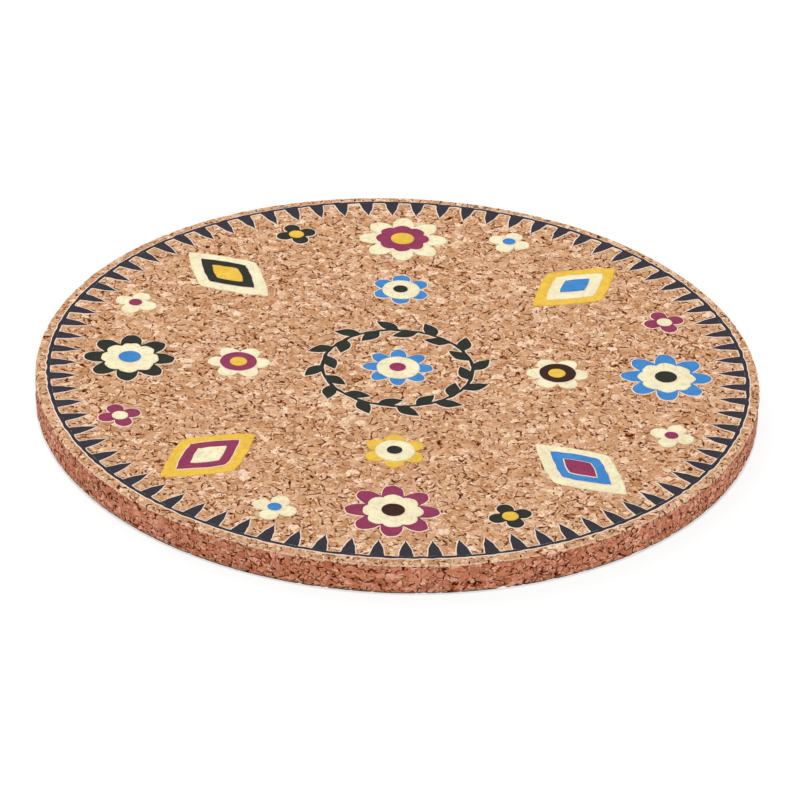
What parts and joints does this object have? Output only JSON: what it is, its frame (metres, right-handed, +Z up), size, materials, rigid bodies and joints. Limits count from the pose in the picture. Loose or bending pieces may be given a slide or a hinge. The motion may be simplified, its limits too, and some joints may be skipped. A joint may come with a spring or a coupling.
{
  "type": "cork coaster",
  "caption": "Round flat table coaster of agglomerated cork with softened edges and a printed border, flowers and leaf wreath on its top face.",
  "frame": {"origin": "middle of the flat underside, where the coaster rests on the table", "axes": "+Z up through the thickness to the printed face; +X from the middle towards flower_1, +Y towards flower_2"},
  "size_m": [0.1, 0.1, 0.0048],
  "materials": {
    "cork": "matte agglomerated cork, sanded faces and sawn edge",
    "ink_charcoal": "matte charcoal printing ink on cork",
    "ink_black": "matte black printing ink on cork",
    "ink_blue": "matte blue printing ink on cork",
    "ink_plum": "matte plum printing ink on cork",
    "ink_yellow": "matte yellow printing ink on cork",
    "ink_cream": "matte cream printing ink on cork",
    "ink_brown": "matte brown printing ink on cork"
  },
  "bodies": {
    "root": {"cork_disc": "cork", "border": "ink_charcoal", "flower_1_petals": "ink_blue", "flower_1_middle": "ink_cream", "flower_1_eye": "ink_black", "flower_2_petals": "ink_cream", "flower_2_middle": "ink_plum", "flower_2_eye": "ink_yellow", "flower_3_petals": "ink_black", "flower_3_middle": "ink_cream", "flower_3_eye": "ink_blue", "flower_4_petals": "ink_plum", "flower_4_middle": "ink_cream", "flower_4_eye": "ink_brown", "lozenge_1_field": "ink_yellow", "lozenge_1_band": "ink_cream", "lozenge_1_eye": "ink_blue", "lozenge_2_field": "ink_cream", "lozenge_2_band": "ink_black", "lozenge_2_eye": "ink_yellow", "lozenge_3_field": "ink_yellow", "lozenge_3_band": "ink_plum", "lozenge_3_eye": "ink_cream", "lozenge_4_field": "ink_cream", "lozenge_4_band": "ink_blue", "lozenge_4_eye": "ink_plum", "blossom_1_petals": "ink_plum", "blossom_1_eye": "ink_cream", "blossom_2_petals": "ink_cream", "blossom_2_eye": "ink_blue", "blossom_3_petals": "ink_black", "blossom_3_eye": "ink_yellow", "blossom_4_petals": "ink_cream", "blossom_4_eye": "ink_plum", "blossom_5_petals": "ink_plum", "blossom_5_eye": "ink_cream", "blossom_6_petals": "ink_cream", "blossom_6_eye": "ink_blue", "blossom_7_petals": "ink_black", "blossom_7_eye": "ink_yellow", "blossom_8_petals": "ink_cream", "blossom_8_eye": "ink_plum", "rosette_1_petals": "ink_cream", "rosette_1_middle": "ink_brown", "rosette_1_eye": "ink_yellow", "rosette_2_petals": "ink_blue", "rosette_2_middle": "ink_cream", "rosette_2_eye": "ink_black", "rosette_3_petals": "ink_cream", "rosette_3_middle": "ink_plum", "rosette_3_eye": "ink_yellow", "rosette_4_petals": "ink_yellow", "rosette_4_middle": "ink_cream", "rosette_4_eye": "ink_black", "wreath": "ink_black", "centre_flower_petals": "ink_blue", "centre_flower_middle": "ink_cream", "centre_flower_eye": "ink_plum"}
  },
  "joints": []
}
